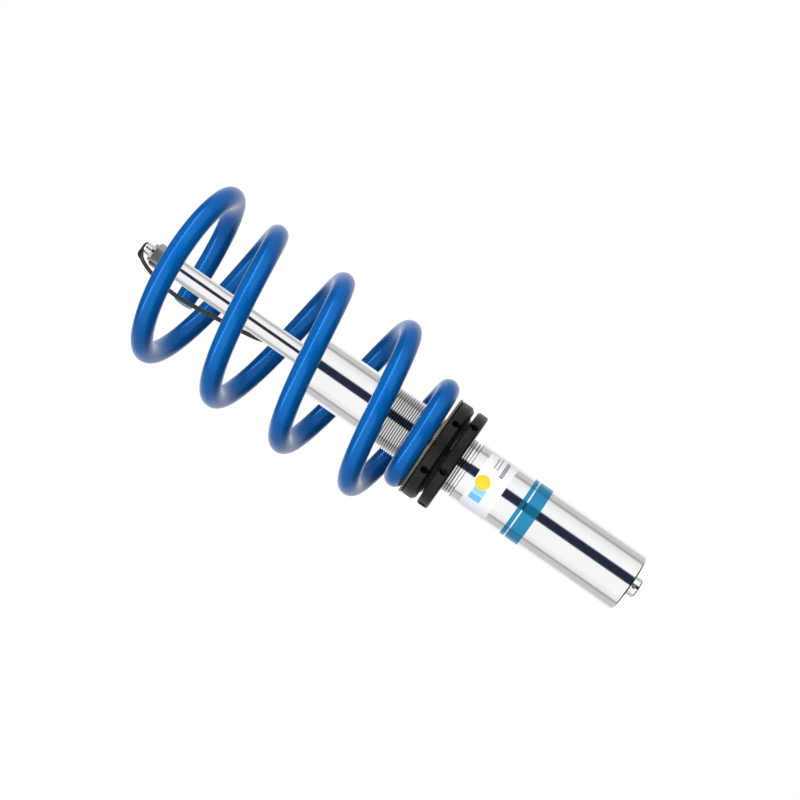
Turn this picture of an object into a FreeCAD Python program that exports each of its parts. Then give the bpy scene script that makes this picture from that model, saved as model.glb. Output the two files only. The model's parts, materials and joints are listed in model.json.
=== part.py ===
import FreeCAD, Part
import math
import os
import re

import Sketcher

# Coil-over suspension strut.  Frame: +Z runs up the damper towards the piston rod's stud, -Y is the
# side with the rating label, and the origin is the centre of the bottom boss's end face.
# The strut is drawn fully extended, with its spring at free length.

Vector = FreeCAD.Vector
Rotation = FreeCAD.Rotation
doc = FreeCAD.newDocument("StrutAssembly")
sheet = doc.addObject("Spreadsheet::Sheet", "Dims")

# ---------------------------------------------------------------- driving dimensions (mm, degrees)
DIMENSIONS = {
    # end plug and lower body sleeve
    "boss_radius": 8.5, "boss_height": 7.5, "boss_chamfer": 0.8,
    "port_radius": 1.6, "port_height": 4.2, "port_depth": 5.0, "port_plug_length": 2.5,
    "sleeve_radius": 25.0, "sleeve_top": 159.2, "sleeve_edge_round": 1.8, "sleeve_top_chamfer": 0.5,
    "lip_thickness": 2.0, "lip_bore_radius": 20.0, "plug_height": 23.5, "plug_rim_height": 3.5,
    "score_line_height": 67.9, "score_line_depth": 0.3, "score_line_width": 0.8,
    "plug_clearance": 0.05, "plug_step": 1.0, "lip_play": 0.2,
    # damper tube
    "tube_radius": 23.25, "tube_bore_radius": 20.5, "tube_top": 306.0, "tube_top_chamfer": 0.8,
    "thread_radius": 24.0, "thread_pitch": 2.0, "thread_depth": 1.1, "thread_crest": 0.15,
    "thread_bottom": 162.5, "thread_top": 241.0, "thread_runout": 0.75, "thread_root": 0.12,
    "thread_overshoot": 0.3,
    "tool_overrun": 1.0,
    "circlip_groove_radius": 21.5, "circlip_thickness": 1.6, "circlip_bore_radius": 18.6,
    "circlip_play": 0.05, "circlip_gap": 6.0,
    # rod guide, seals and wiper
    "guide_bottom": 276.0, "guide_height": 16.0, "bush_wall": 1.0, "bush_length": 12.0,
    "guide_chamfer": 1.0, "bush_inset": 2.0,
    "seal_height": 5.0, "washer_height": 3.0, "wiper_lip_height": 2.4,
    "seal_mouth": 3.0, "seal_back": 2.0, "seal_lip": 1.5, "washer_bore_play": 1.0,
    "wiper_edge": 1.0, "wiper_slope": 0.6, "wiper_crown": 3.5, "wiper_lip_land": 0.8,
    "running_clearance": 0.05,
    # piston rod
    "rod_radius": 8.5, "rod_bottom": 262.0, "rod_top": 443.0, "rod_chamfer": 1.0,
    "piston_stud_radius": 5.0, "piston_stud_length": 35.0,
    "top_stud_radius": 5.0, "top_stud_length": 19.6, "top_stud_chamfer": 1.0,
    "stud_pitch": 1.5, "stud_thread_depth": 0.8, "stud_thread_crest": 0.15,
    "stud_plain": 3.0, "shoulder_chamfer": 0.3, "piston_stud_chamfer": 0.8,
    # piston group
    "piston_radius": 20.2, "piston_height": 16.0, "piston_clearance": 0.08,
    "band_height": 9.0, "band_wall": 1.6, "stud_fit": 0.05,
    "piston_chamfer": 1.0, "band_play": 0.1, "piston_port_count": 8,
    "port_circle_radius": 14.0, "piston_port_radius": 2.2,
    "shim_count": 4, "shim_thickness": 0.5, "shim_gap": 0.02, "shim_first_radius": 18.0, "shim_step": 1.8,
    "backing_thickness": 2.2, "backing_radius": 11.5,
    "rebound_stop_radius": 14.5, "rebound_stop_height": 13.7,
    "stop_chamfer": 1.5, "stop_taper": 2.5, "stop_taper_height": 4.0,
    "piston_nut_flats": 17.0, "piston_nut_height": 8.0,
    # floating piston and O-rings
    "floating_bottom": 82.0, "floating_height": 16.0, "floating_cup_radius": 15.0,
    "floating_cup_depth": 9.0, "cup_chamfer": 1.0, "floating_chamfer": 0.6,
    "o_ring_section": 1.4, "o_ring_clearance": 0.05,
    "o_ring_groove_depth": 2.95, "o_ring_groove_half_width": 1.7,
    "plug_ring_offset": 15.0, "piston_ring_offset": 8.0,
    # perch, lock ring and slip ring
    "ring_radius": 42.2, "ring_bore_radius": 24.1, "ring_chamfer": 1.2,
    "lock_bottom": 167.7, "lock_height": 9.2, "lock_hub_radius": 33.0, "lock_hub_height": 1.0,
    "perch_bottom": 178.4, "perch_flange_bottom": 179.6, "perch_top": 191.5, "perch_hub_radius": 34.0,
    "perch_chamfer": 2.6, "slip_ring_radius": 42.6, "slip_ring_bore_radius": 27.0,
    "slip_ring_height": 1.8,
    "notch_count": 6, "notch_hole_radius": 3.1, "notch_slot_width": 3.4, "notch_floor_radius": 34.5,
    "perch_notch_level": 185.4, "lock_notch_level": 172.3,
    "perch_notch_phase": 245.3, "lock_notch_phase": 255.6,
    # coil spring, counted upwards from its lower cut end
    "wire_radius": 8.5, "coil_turns": 5.0, "coil_pitch": 63.3, "coil_radius": 63.2,
    "lower_end_radius": 35.0, "coil_taper": 1.15, "taper_start": 1.6, "coil_tilt_rise": 2.2,
    "lower_dead_turns": 0.2, "lower_ramp_turns": 1.28, "upper_ramp_start": 4.33,
    "upper_ramp_turns": 0.3, "upper_tuck": 0.3,
    "pigtail_start": 0.33, "pigtail_turns": 1.1, "flare_start": 4.2, "flare_turns": 0.7,
    "flare_rise": 3.9, "tilt_start": 0.6,
    "upper_tip_angle": 106.7, "coil_points_per_turn": 14,
    # stud nut, washer and retaining strap
    "nut_flats": 17.0, "nut_hex_height": 8.0, "nut_collar_radius": 7.4, "nut_collar_height": 2.4,
    "nut_bevel": 1.3, "nut_bevel_rise": 0.78,
    "stud_washer_radius": 10.0, "stud_washer_height": 2.5, "washer_play": 0.3,
    "strap_radius": 1.5,
    # printed films on the sleeve
    "film_thickness": 0.15, "label_bottom": 126.8, "label_top": 150.7, "label_angle": 140.0,
    "stripe_bottom": 95.3, "stripe_line_bottom": 106.8, "stripe_line_top": 108.0,
    "stripe_top": 111.5, "stripe_angle": 200.0,
}

for row, (alias, value) in enumerate(DIMENSIONS.items(), start=1):
    sheet.set("A%d" % row, alias)
    sheet.set("B%d" % row, str(value))
    sheet.setAlias("B%d" % row, alias)
doc.recompute()

sub_parts = []


def dim(alias):
    """The sheet's value of one driving dimension."""
    return float(getattr(sheet, alias))


def bound(expression):
    """A formula over bare aliases, such as "rod_top - 2", with each alias pointed at the sheet."""
    return re.sub("[a-z][a-z_]*",
                  lambda word: "Dims." + word[0] if word[0] in DIMENSIONS else word[0], expression)


def keep(piece, label, placement=None):
    """Name a finished sub-part and list it for export."""
    piece.Label = label
    if placement is not None:
        piece.Placement = placement
    sub_parts.append(piece)
    return piece


def origin_plane(body, role):
    return next(feature for feature in body.Origin.OriginFeatures if feature.Role == role)


def new_sketch(body, name, role="XZ_Plane"):
    sketch = body.newObject("Sketcher::SketchObject", name)
    sketch.AttachmentSupport = [(origin_plane(body, role), "")]
    sketch.MapMode = "FlatFace"
    return sketch


def pin_point(sketch, geometry, point, across, up):
    """Fix one sketch point at formulas for its two coordinates."""
    drawn = sketch.getPoint(geometry, point)
    for kind, formula, value in (("DistanceX", across, drawn.x), ("DistanceY", up, drawn.y)):
        number = sketch.addConstraint(Sketcher.Constraint(kind, -1, 1, geometry, point, value))
        sketch.setExpression("Constraints[%d]" % number, bound(formula))


def outline(sketch, corners):
    """A closed outline of straight sides through (radius, height) formulas."""
    count = len(corners)
    rough = [Vector(30 + 20 * math.cos(2 * math.pi * i / count),
                    100 + 20 * math.sin(2 * math.pi * i / count), 0) for i in range(count)]
    for i in range(count):
        sketch.addGeometry(Part.LineSegment(rough[i], rough[(i + 1) % count]), False)
    for i, (across, up) in enumerate(corners):
        sketch.addConstraint(Sketcher.Constraint("Coincident", i - 1 if i else count - 1, 2, i, 1))
        pin_point(sketch, i, 1, across, up)


def turned_feature(body, name, corners, kind="PartDesign::Revolution"):
    sketch = new_sketch(body, name + "Outline")
    outline(sketch, corners)
    feature = body.newObject(kind, name)
    feature.Profile = sketch
    feature.ReferenceAxis = (sketch, ["V_Axis"])
    feature.Angle = 360
    sketch.Visibility = False
    return feature


def turned_body(name, corners):
    """A lathe-turned piece about Z."""
    body = doc.addObject("PartDesign::Body", name)
    turned_feature(body, name + "Turned", corners)
    return body


def ring_body(name, inner, outer, low, high):
    return turned_body(name, [(inner, low), (outer, low), (outer, high), (inner, high)])


def volume_of(body):
    doc.recompute()
    return body.Shape.Volume


def check_cut(body, before, what):
    after = volume_of(body)
    if not after < before - 0.01:
        raise RuntimeError("%s cut nothing from %s" % (what, body.Name))


def cut_thread(body, radius, depth, pitch, crest, low, high):
    """Cut a helical V-groove, right-handed, into a turned shaft."""
    before = volume_of(body)
    sketch = new_sketch(body, body.Name + "ThreadProfile")
    outline(sketch, [
        (radius + " + thread_overshoot", low + " - " + pitch + " * 0.5 + " + crest),
        (radius + " + thread_overshoot", low + " + " + pitch + " * 0.5 - " + crest),
        (radius + " - " + depth, low + " + thread_root"),
        (radius + " - " + depth, low + " - thread_root"),
    ])
    doc.recompute()
    thread = body.newObject("PartDesign::SubtractiveHelix", body.Name + "Thread")
    thread.Profile = sketch
    thread.ReferenceAxis = (sketch, ["V_Axis"])
    thread.Mode = 0
    thread.setExpression("Pitch", bound(pitch))
    thread.setExpression("Height", bound(high + " - " + low))
    thread.LeftHanded = False
    sketch.Visibility = False
    check_cut(body, before, "the thread")


def o_ring(name, level):
    """A round-section ring that stands against the tube's bore."""
    ring = doc.addObject("Part::Torus", name)
    ring.setExpression("Radius1", bound("tube_bore_radius - o_ring_section - o_ring_clearance"))
    ring.setExpression("Radius2", bound("o_ring_section"))
    ring.setExpression("Placement.Base.z", bound(level))
    return ring


def o_ring_groove(body, name, level):
    """Turn the groove that one O-ring lies in."""
    floor = "tube_bore_radius - o_ring_groove_depth"
    open_side = "tube_bore_radius + tool_overrun"
    below = level + " - o_ring_groove_half_width"
    above = level + " + o_ring_groove_half_width"
    before = volume_of(body)
    turned_feature(body, name, [(floor, below), (open_side, below), (open_side, above), (floor, above)],
                   "PartDesign::Groove")
    check_cut(body, before, "the O-ring groove")


def cylinder(name, radius, low, high):
    rod = doc.addObject("Part::Cylinder", name)
    rod.setExpression("Radius", bound(radius))
    rod.setExpression("Height", bound(high + " - ( " + low + " )"))
    rod.setExpression("Placement.Base.z", bound(low))
    return rod


def hexagon(name, flats, low, height):
    prism = doc.addObject("Part::Prism", name)
    prism.Polygon = 6
    prism.setExpression("Circumradius", bound(flats + " / 2 / cos(30 deg)"))
    prism.setExpression("Height", bound(height))
    prism.setExpression("Placement.Base.z", bound(low))
    return prism


def joined(kind, name, first, second):
    result = doc.addObject(kind, name)
    if kind in ("Part::MultiFuse", "Part::MultiCommon"):
        result.Shapes = [first, second]
    else:
        result.Base = first
        result.Tool = second
    return result


# ---------------------------------------------------------------- lower end of the damper
def make_end_plug():
    rim = "boss_height + plug_step"
    body = turned_body("EndPlug", [
        ("0", "0"),
        ("boss_radius - boss_chamfer", "0"),
        ("boss_radius", "boss_chamfer"),
        ("boss_radius", rim),
        ("lip_bore_radius - lip_play", rim),
        ("lip_bore_radius - lip_play", "boss_height + lip_thickness"),
        ("tube_radius - plug_clearance", "boss_height + lip_thickness"),
        ("tube_radius - plug_clearance", "boss_height + lip_thickness + plug_rim_height"),
        ("tube_bore_radius", "boss_height + lip_thickness + plug_rim_height"),
        ("tube_bore_radius", "boss_height + plug_height"),
        ("0", "boss_height + plug_height"),
    ])
    ring_level = "boss_height + plug_ring_offset"
    o_ring_groove(body, "EndPlugRingGroove", ring_level)
    before = volume_of(body)
    sketch = new_sketch(body, "FillPortCircle")
    sketch.setExpression("AttachmentOffset.Base.z", bound("boss_radius - port_depth"))
    sketch.addGeometry(Part.Circle(Vector(0, 4, 0), Vector(0, 0, 1), 1), False)
    sketch.addConstraint(Sketcher.Constraint("DistanceX", -1, 1, 0, 3, 0.0))
    level = sketch.addConstraint(Sketcher.Constraint("DistanceY", -1, 1, 0, 3, 4.0))
    radius = sketch.addConstraint(Sketcher.Constraint("Radius", 0, 1.0))
    sketch.setExpression("Constraints[%d]" % level, bound("port_height"))
    sketch.setExpression("Constraints[%d]" % radius, bound("port_radius"))
    pocket = body.newObject("PartDesign::Pocket", "FillPort")
    pocket.Profile = sketch
    pocket.Reversed = True
    pocket.setExpression("Length", bound("port_depth + tool_overrun"))
    check_cut(body, before, "the gas filling port")
    keep(body, "end_plug")
    keep(o_ring("EndPlugORing", ring_level), "end_plug_o_ring")


def make_gas_fill_plug():
    """The short pin that seals the filling port, sunk below the boss's side."""
    pin = doc.addObject("Part::Cylinder", "GasFillPlug")
    pin.setExpression("Radius", bound("port_radius"))
    pin.setExpression("Height", bound("port_plug_length"))
    pin.Placement.Rotation = Rotation(Vector(1, 0, 0), 90)
    pin.setExpression("Placement.Base.y", bound("port_depth - boss_radius"))
    pin.setExpression("Placement.Base.z", bound("port_height"))
    keep(pin, "gas_fill_plug")


def make_body_sleeve():
    """The polished lower tube, rolled in under the end plug and scored where a clamp stops."""
    bottom = "boss_height"
    body = turned_body("BodySleeve", [
        ("lip_bore_radius", bottom),
        ("sleeve_radius", bottom),
        ("sleeve_radius", "sleeve_top - sleeve_top_chamfer"),
        ("sleeve_radius - sleeve_top_chamfer", "sleeve_top"),
        ("tube_radius", "sleeve_top"),
        ("tube_radius", bottom + " + lip_thickness"),
        ("lip_bore_radius", bottom + " + lip_thickness"),
    ])
    doc.recompute()
    turned = body.Tip
    edge = next(i for i, e in enumerate(turned.Shape.Edges, start=1)
                if e.BoundBox.ZLength < 0.01
                and abs(e.BoundBox.ZMin - dim("boss_height")) < 0.01
                and abs(e.BoundBox.XMax - dim("sleeve_radius")) < 0.01)
    rounded = body.newObject("PartDesign::Fillet", "SleeveEdgeRound")
    rounded.Base = (turned, ["Edge%d" % edge])
    rounded.setExpression("Radius", bound("sleeve_edge_round"))
    before = volume_of(body)
    turned_feature(body, "ScoreLine", [
        ("sleeve_radius - score_line_depth", "score_line_height"),
        ("sleeve_radius + tool_overrun", "score_line_height"),
        ("sleeve_radius + tool_overrun", "score_line_height + score_line_width"),
        ("sleeve_radius - score_line_depth", "score_line_height + score_line_width"),
    ], "PartDesign::Groove")
    check_cut(body, before, "the score line")
    keep(body, "body_sleeve")


# ---------------------------------------------------------------- damper tube and its head
CIRCLIP_LEVELS = {
    "lower": "guide_bottom - circlip_thickness",
    "upper": "guide_bottom + guide_height + seal_height + washer_height",
}


def make_damper_tube():
    floor = "boss_height + lip_thickness + plug_rim_height"
    body = turned_body("DamperTube", [
        ("tube_bore_radius", floor),
        ("tube_radius", floor),
        ("tube_radius", "thread_bottom - 2 * thread_runout"),
        ("thread_radius", "thread_bottom - thread_runout"),
        ("thread_radius", "thread_top"),
        ("tube_radius", "thread_top + thread_runout"),
        ("tube_radius", "tube_top - tube_top_chamfer"),
        ("tube_radius - tube_top_chamfer", "tube_top"),
        ("tube_bore_radius", "tube_top"),
    ])
    for name, level in CIRCLIP_LEVELS.items():
        turned_feature(body, name.capitalize() + "CirclipGroove", [
            ("tube_bore_radius - tool_overrun", level),
            ("circlip_groove_radius", level),
            ("circlip_groove_radius", level + " + circlip_thickness"),
            ("tube_bore_radius - tool_overrun", level + " + circlip_thickness"),
        ], "PartDesign::Groove")
    cut_thread(body, "thread_radius", "thread_depth", "thread_pitch", "thread_crest",
               "thread_bottom", "thread_top")
    keep(body, "damper_tube")


def make_circlip(position):
    """A spring ring with a gap, lying in its groove in the tube."""
    level = CIRCLIP_LEVELS[position]
    ring = ring_body(position.capitalize() + "Circlip", "circlip_bore_radius",
                     "circlip_groove_radius - circlip_play", level + " + circlip_play",
                     level + " + circlip_thickness - circlip_play")
    before = volume_of(ring)
    sketch = new_sketch(ring, ring.Name + "Gap", "XY_Plane")
    sketch.setExpression("AttachmentOffset.Base.z", bound(level + " - tool_overrun"))
    left, right = "0 - circlip_gap / 2", "circlip_gap / 2"
    near, far = "circlip_bore_radius / 2", "circlip_groove_radius + tool_overrun"
    outline(sketch, [(left, near), (right, near), (right, far), (left, far)])
    gap = ring.newObject("PartDesign::Pocket", ring.Name + "GapCut")
    gap.Profile = sketch
    gap.Reversed = True
    gap.setExpression("Length", bound("circlip_thickness + 2 * tool_overrun"))
    check_cut(ring, before, "the gap")
    keep(ring, position + "_circlip")


def make_rod_guide():
    low, high = "guide_bottom", "guide_bottom + guide_height"
    rod_bore = "rod_radius + running_clearance + bush_wall"
    body = turned_body("RodGuide", [
        (rod_bore, low + " + guide_chamfer"),
        (rod_bore + " + guide_chamfer", low),
        ("tube_bore_radius - guide_chamfer", low),
        ("tube_bore_radius", low + " + guide_chamfer"),
        ("tube_bore_radius", high),
        (rod_bore, high),
    ])
    ring_level = low + " + piston_ring_offset"
    o_ring_groove(body, "GuideRingGroove", ring_level)
    keep(body, "rod_guide")
    keep(o_ring("GuideORing", ring_level), "guide_o_ring")
    keep(ring_body("GuideBush", "rod_radius + running_clearance", rod_bore,
                   low + " + bush_inset", low + " + bush_inset + bush_length"), "guide_bush")


def make_rod_seals():
    low = "guide_bottom + guide_height"
    keep(turned_body("RodSeal", [
        ("rod_radius + running_clearance", low + " + seal_lip"),
        ("rod_radius + seal_mouth", low),
        ("tube_bore_radius", low),
        ("tube_bore_radius", low + " + seal_height"),
        ("rod_radius + seal_back", low + " + seal_height"),
        ("rod_radius + running_clearance", low + " + seal_height - seal_lip"),
    ]), "rod_seal")
    keep(ring_body("SealWasher", "rod_radius + washer_bore_play", "tube_bore_radius",
                   low + " + seal_height", low + " + seal_height + washer_height"), "seal_washer")
    bed = low + " + seal_height + washer_height + circlip_thickness"
    keep(turned_body("WiperSeal", [
        ("rod_radius + seal_back", bed),
        ("tube_bore_radius", bed),
        ("tube_bore_radius", "tube_top"),
        ("tube_radius - wiper_edge", "tube_top"),
        ("tube_radius - wiper_edge - wiper_slope", "tube_top + wiper_lip_height - wiper_lip_land"),
        ("rod_radius + wiper_crown", "tube_top + wiper_lip_height"),
        ("rod_radius + running_clearance", "tube_top + wiper_lip_height + wiper_slope"),
        ("rod_radius + running_clearance", "tube_top + wiper_lip_land"),
        ("rod_radius + seal_back", "tube_top - wiper_edge"),
    ]), "wiper_seal")


# ---------------------------------------------------------------- rod and piston group
def piston_levels():
    """Heights of the stack under the rod's shoulder, from the top down."""
    top_backing = "rod_bottom - backing_thickness"
    upper_shims = top_backing + " - shim_count * ( shim_thickness + shim_gap )"
    piston_low = upper_shims + " - piston_height"
    lower_shims = piston_low + " - shim_count * ( shim_thickness + shim_gap )"
    low_backing = lower_shims + " - backing_thickness"
    return top_backing, upper_shims, piston_low, lower_shims, low_backing


def make_piston_rod():
    body = turned_body("PistonRod", [
        ("0", "rod_bottom - piston_stud_length"),
        ("piston_stud_radius - piston_stud_chamfer", "rod_bottom - piston_stud_length"),
        ("piston_stud_radius", "rod_bottom - piston_stud_length + piston_stud_chamfer"),
        ("piston_stud_radius", "rod_bottom"),
        ("rod_radius - shoulder_chamfer", "rod_bottom"),
        ("rod_radius", "rod_bottom + shoulder_chamfer"),
        ("rod_radius", "rod_top - rod_chamfer"),
        ("rod_radius - rod_chamfer", "rod_top"),
        ("top_stud_radius", "rod_top"),
        ("top_stud_radius", "rod_top + top_stud_length - top_stud_chamfer"),
        ("top_stud_radius - top_stud_chamfer", "rod_top + top_stud_length"),
        ("0", "rod_top + top_stud_length"),
    ])
    cut_thread(body, "top_stud_radius", "stud_thread_depth", "stud_pitch", "stud_thread_crest",
               "rod_top + stud_plain", "rod_top + top_stud_length + stud_pitch")
    keep(body, "piston_rod")


def make_piston():
    low = piston_levels()[2]
    high = low + " + piston_height"
    band_low = low + " + ( piston_height - band_height ) / 2"
    body = turned_body("WorkingPiston", [
        ("piston_stud_radius + stud_fit", low),
        ("piston_radius - piston_chamfer", low),
        ("piston_radius", low + " + piston_chamfer"),
        ("piston_radius", high + " - piston_chamfer"),
        ("piston_radius - piston_chamfer", high),
        ("piston_stud_radius + stud_fit", high),
    ])
    turned_feature(body, "BandGroove", [
        ("piston_radius - band_wall", band_low),
        ("piston_radius + tool_overrun", band_low),
        ("piston_radius + tool_overrun", band_low + " + band_height"),
        ("piston_radius - band_wall", band_low + " + band_height"),
    ], "PartDesign::Groove")
    before = volume_of(body)
    sketch = new_sketch(body, "OilPortCircle", "XY_Plane")
    sketch.setExpression("AttachmentOffset.Base.z", bound(low))
    sketch.addGeometry(Part.Circle(Vector(14, 0, 0), Vector(0, 0, 1), 2), False)
    place = sketch.addConstraint(Sketcher.Constraint("DistanceX", -1, 1, 0, 3, 14.0))
    sketch.addConstraint(Sketcher.Constraint("DistanceY", -1, 1, 0, 3, 0.0))
    radius = sketch.addConstraint(Sketcher.Constraint("Radius", 0, 2.0))
    sketch.setExpression("Constraints[%d]" % place, bound("port_circle_radius"))
    sketch.setExpression("Constraints[%d]" % radius, bound("piston_port_radius"))
    port = body.newObject("PartDesign::Pocket", "OilPort")
    port.Profile = sketch
    port.Reversed = True
    port.setExpression("Length", bound("piston_height"))
    doc.recompute()
    pattern = body.newObject("PartDesign::PolarPattern", "OilPorts")
    pattern.Originals = [port]
    pattern.Axis = (origin_plane(body, "Z_Axis"), [""])
    pattern.Angle = 360
    pattern.Occurrences = int(dim("piston_port_count"))
    body.Tip = pattern
    check_cut(body, before, "the ring of oil ports")
    keep(body, "working_piston")
    keep(ring_body("PistonBand", "piston_radius - band_wall + band_play",
                   "tube_bore_radius - piston_clearance", band_low + " + band_play",
                   band_low + " + band_height - band_play"), "piston_band")


def make_shim_stack(name, label, start, outward):
    """Thin discs, the widest against the piston; outward is + above it and - below it."""
    discs = []
    for number in range(int(dim("shim_count"))):
        step = "%s %d * ( shim_thickness + shim_gap )" % (outward, number)
        near = "%s %s %s shim_gap" % (start, step, outward)
        far = "%s %s shim_thickness" % (near, outward)
        low, high = (near, far) if outward == "+" else (far, near)
        radius = "shim_first_radius - %d * shim_step" % number
        disc = cylinder("%sDisc%d" % (name, number), radius, low, high)
        hole = cylinder("%sHole%d" % (name, number), "piston_stud_radius + stud_fit",
                        low + " - tool_overrun", high + " + tool_overrun")
        discs.append(joined("Part::Cut", "%sShim%d" % (name, number), disc, hole))
    stack = doc.addObject("Part::Compound", name)
    stack.Links = discs
    keep(stack, label)


def make_piston_hardware():
    top_backing, upper_shims, piston_low, lower_shims, low_backing = piston_levels()
    make_shim_stack("CompressionShims", "compression_shims", upper_shims, "+")
    make_shim_stack("ReboundShims", "rebound_shims", piston_low, "-")
    bore = "piston_stud_radius + stud_fit"
    keep(ring_body("UpperBacking", bore, "backing_radius", top_backing, "rod_bottom"),
         "upper_backing_washer")
    keep(ring_body("LowerBacking", bore, "backing_radius", low_backing, lower_shims),
         "lower_backing_washer")
    nut_low = low_backing + " - piston_nut_height"
    blank = hexagon("PistonNutBlank", "piston_nut_flats", nut_low, "piston_nut_height")
    hole = cylinder("PistonNutBore", bore, nut_low + " - tool_overrun",
                    low_backing + " + tool_overrun")
    keep(joined("Part::Cut", "PistonNut", blank, hole), "piston_nut")
    top = "rod_bottom + rebound_stop_height"
    stop_bore = "rod_radius + stud_fit"
    keep(turned_body("ReboundStop", [
        (stop_bore, "rod_bottom"),
        ("rebound_stop_radius - stop_chamfer", "rod_bottom"),
        ("rebound_stop_radius", "rod_bottom + stop_chamfer"),
        ("rebound_stop_radius", top + " - stop_taper_height"),
        ("rebound_stop_radius - stop_taper", top),
        (stop_bore, top),
    ]), "rebound_stop")


def make_floating_piston():
    low, high = "floating_bottom", "floating_bottom + floating_height"
    edge = "tube_bore_radius - piston_clearance"
    body = turned_body("FloatingPiston", [
        ("0", low + " + floating_cup_depth"),
        ("floating_cup_radius - cup_chamfer", low + " + floating_cup_depth"),
        ("floating_cup_radius", low + " + floating_cup_depth - cup_chamfer"),
        ("floating_cup_radius", low),
        (edge + " - floating_chamfer", low),
        (edge, low + " + floating_chamfer"),
        (edge, high + " - floating_chamfer"),
        (edge + " - floating_chamfer", high),
        ("0", high),
    ])
    ring_level = low + " + piston_ring_offset"
    o_ring_groove(body, "FloatingRingGroove", ring_level)
    keep(body, "floating_piston")
    keep(o_ring("FloatingORing", ring_level), "floating_piston_o_ring")


# ---------------------------------------------------------------- spring seat
def cut_notches(body, level, side, face, phase):
    """Keyhole notches for a hook spanner: a round hole with a slot out to the face above (side 1)
    or below (side -1)."""
    before = volume_of(body)
    sketch = new_sketch(body, body.Name + "NotchOutline")
    sketch.setExpression("AttachmentOffset.Base.z", bound("notch_floor_radius"))
    half_mouth = math.asin(dim("notch_slot_width") / 2 / dim("notch_hole_radius"))
    middle = Vector(0, dim(level), 0)
    first = side * math.pi / 2 + half_mouth
    last = first + 2 * math.pi - 2 * half_mouth
    circle = Part.Circle(middle, Vector(0, 0, 1), dim("notch_hole_radius"))
    sketch.addGeometry(Part.ArcOfCircle(circle, first, last), False)
    mouth_start = sketch.Geometry[0].StartPoint
    mouth_end = sketch.Geometry[0].EndPoint
    outward = Vector(0, side * dim("notch_hole_radius"), 0)
    sketch.addGeometry(Part.LineSegment(mouth_end, mouth_end + outward), False)
    sketch.addGeometry(Part.LineSegment(mouth_end + outward, mouth_start + outward), False)
    sketch.addGeometry(Part.LineSegment(mouth_start + outward, mouth_start), False)
    for line in range(4):
        sketch.addConstraint(Sketcher.Constraint("Coincident", line, 2, (line + 1) % 4, 1))
    pin_point(sketch, 0, 3, "0", level)
    size = sketch.addConstraint(Sketcher.Constraint("Radius", 0, circle.Radius))
    sketch.setExpression("Constraints[%d]" % size, bound("notch_hole_radius"))
    end_side, start_side = ("", "0 - ") if mouth_end.x > 0 else ("0 - ", "")
    reach = face + (" + tool_overrun" if side > 0 else " - tool_overrun")
    pin_point(sketch, 1, 2, end_side + "notch_slot_width / 2", reach)
    pin_point(sketch, 2, 2, start_side + "notch_slot_width / 2", reach)
    sketch.addConstraint(Sketcher.Constraint("Vertical", 1))
    sketch.addConstraint(Sketcher.Constraint("Vertical", 3))
    doc.recompute()
    notch = body.newObject("PartDesign::Pocket", body.Name + "Notch")
    notch.Profile = sketch
    notch.Reversed = True
    notch.setExpression("Length", bound("ring_radius"))
    doc.recompute()
    pattern = body.newObject("PartDesign::PolarPattern", body.Name + "Notches")
    pattern.Originals = [notch]
    pattern.Axis = (origin_plane(body, "Z_Axis"), [""])
    pattern.Angle = 360
    pattern.Occurrences = int(dim("notch_count"))
    body.Tip = pattern
    check_cut(body, before, "the spanner notches")
    # The sketch's notch faces -Y, which is an angle of 270 degrees.
    body.Placement = FreeCAD.Placement(Vector(), Rotation(Vector(0, 0, 1), dim(phase) - 270))


def make_spring_perch():
    body = turned_body("SpringPerch", [
        ("ring_bore_radius", "perch_bottom"),
        ("perch_hub_radius", "perch_bottom"),
        ("perch_hub_radius", "perch_flange_bottom"),
        ("ring_radius - perch_chamfer", "perch_flange_bottom"),
        ("ring_radius", "perch_flange_bottom + perch_chamfer"),
        ("ring_radius", "perch_top - ring_chamfer"),
        ("ring_radius - ring_chamfer", "perch_top"),
        ("ring_bore_radius", "perch_top"),
    ])
    cut_notches(body, "perch_notch_level", -1, "perch_flange_bottom", "perch_notch_phase")
    keep(body, "spring_perch")


def make_lock_ring():
    top = "lock_bottom + lock_height"
    body = turned_body("LockRing", [
        ("ring_bore_radius", "lock_bottom"),
        ("ring_radius - ring_chamfer", "lock_bottom"),
        ("ring_radius", "lock_bottom + ring_chamfer"),
        ("ring_radius", top + " - ring_chamfer"),
        ("ring_radius - ring_chamfer", top),
        ("lock_hub_radius", top),
        ("lock_hub_radius", top + " + lock_hub_height"),
        ("ring_bore_radius", top + " + lock_hub_height"),
    ])
    cut_notches(body, "lock_notch_level", 1, top, "lock_notch_phase")
    keep(body, "lock_ring")


def make_slip_ring():
    keep(ring_body("SlipRing", "slip_ring_bore_radius", "slip_ring_radius", "perch_top",
                   "perch_top + slip_ring_height"), "spring_slip_ring")


# ---------------------------------------------------------------- coil spring
def smooth(fraction):
    """0 below 0, 1 above 1, and an even S between them."""
    fraction = min(max(fraction, 0.0), 1.0)
    return fraction * fraction * (3 - 2 * fraction)


def coil_slope(turn):
    """Rise per turn of the wire's centre, relative to the full pitch."""
    opening = smooth((turn - dim("lower_dead_turns")) / dim("lower_ramp_turns"))
    closing = smooth((turn - dim("upper_ramp_start")) / dim("upper_ramp_turns"))
    return opening - closing * (1 + dim("upper_tuck"))


def coil_centre_radius(turn):
    """A narrow pigtail at the seat, a slight widening upwards, and a flared top coil."""
    wide = dim("coil_radius") + dim("coil_taper") * max(turn - dim("taper_start"), 0.0)
    pigtail = 1 - smooth((turn - dim("pigtail_start")) / dim("pigtail_turns"))
    flare = smooth((turn - dim("flare_start")) / dim("flare_turns"))
    return wide + pigtail * (dim("lower_end_radius") - wide) + flare * dim("flare_rise")


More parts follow.
